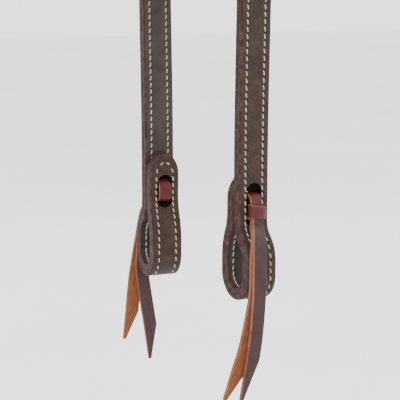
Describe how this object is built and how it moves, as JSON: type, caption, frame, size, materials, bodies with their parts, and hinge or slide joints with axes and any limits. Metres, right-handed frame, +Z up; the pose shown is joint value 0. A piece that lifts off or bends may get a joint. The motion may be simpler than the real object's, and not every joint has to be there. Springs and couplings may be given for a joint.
{
  "type": "western leather reins",
  "caption": "Doubled and stitched leather rein, stored as a double coil on a peg, with a tied water loop and two lace tails at each hanging end.",
  "frame": {"origin": "axis of the hang peg in the eye of the coil, midway between the two rolls", "axes": "+X along the peg and across the strap, -Y towards the front end, +Z up"},
  "size_m": [0.06, 0.1092, 0.319],
  "materials": {
    "grain_leather": "smooth grain, burnished",
    "roughout_leather": "napped flesh side, matt",
    "sewing_thread": "waxed cord",
    "lace_grain": "oiled latigo, soft sheen",
    "lace_flesh": "matt flesh side"
  },
  "bodies": {
    "coil": {"coil_grain_ply": "grain_leather", "coil_rough_ply": "roughout_leather", "coil_needle_thread": "sewing_thread", "coil_bobbin_thread": "sewing_thread", "storage_string": "lace_grain", "storage_knot": "lace_grain"},
    "front_end": {"front_grain_ply": "grain_leather", "front_rough_ply": "roughout_leather", "front_needle_thread": "sewing_thread", "front_bobbin_thread": "sewing_thread", "front_tie_lace": "lace_grain", "front_tie_wrap": "lace_grain"},
    "front_under_tail": {"front_under_tail": "lace_flesh"},
    "front_outer_tail": {"front_outer_tail": "lace_grain"},
    "rear_end": {"rear_grain_ply": "grain_leather", "rear_rough_ply": "roughout_leather", "rear_needle_thread": "sewing_thread", "rear_bobbin_thread": "sewing_thread", "rear_tie_lace": "lace_grain", "rear_tie_wrap": "lace_grain"},
    "rear_under_tail": {"rear_under_tail": "lace_flesh"},
    "rear_outer_tail": {"rear_outer_tail": "lace_grain"}
  },
  "joints": [
    {"name": "front_end_swing", "type": "hinge", "parent": "coil", "child": "front_end", "pos_m": [0.0085, -0.0449, -0.012], "axis": [-1, 0, 0], "range_deg": [0, 35], "stiffness_Nm_per_rad": 0.15, "springref_deg": -0.86},
    {"name": "front_under_tail_swing", "type": "hinge", "parent": "front_end", "child": "front_under_tail", "pos_m": [0.0085, -0.04637, -0.17094], "axis": [-1, 0, 0], "range_deg": [0, 50], "stiffness_Nm_per_rad": 0.005},
    {"name": "front_outer_tail_swing", "type": "hinge", "parent": "front_under_tail", "child": "front_outer_tail", "pos_m": [0.0085, -0.04637, -0.17094], "axis": [-1, 0, 0], "range_deg": [0, 45], "stiffness_Nm_per_rad": 0.005},
    {"name": "rear_end_swing", "type": "hinge", "parent": "coil", "child": "rear_end", "pos_m": [-0.0085, 0.0449, -0.012], "axis": [1, 0, 0], "range_deg": [0, 35], "stiffness_Nm_per_rad": 0.15, "springref_deg": -0.86},
    {"name": "rear_under_tail_swing", "type": "hinge", "parent": "rear_end", "child": "rear_under_tail", "pos_m": [-0.0085, 0.04637, -0.17094], "axis": [1, 0, 0], "range_deg": [0, 50], "stiffness_Nm_per_rad": 0.005},
    {"name": "rear_outer_tail_swing", "type": "hinge", "parent": "rear_under_tail", "child": "rear_outer_tail", "pos_m": [-0.0085, 0.04637, -0.17094], "axis": [1, 0, 0], "range_deg": [0, 45], "stiffness_Nm_per_rad": 0.005}
  ]
}
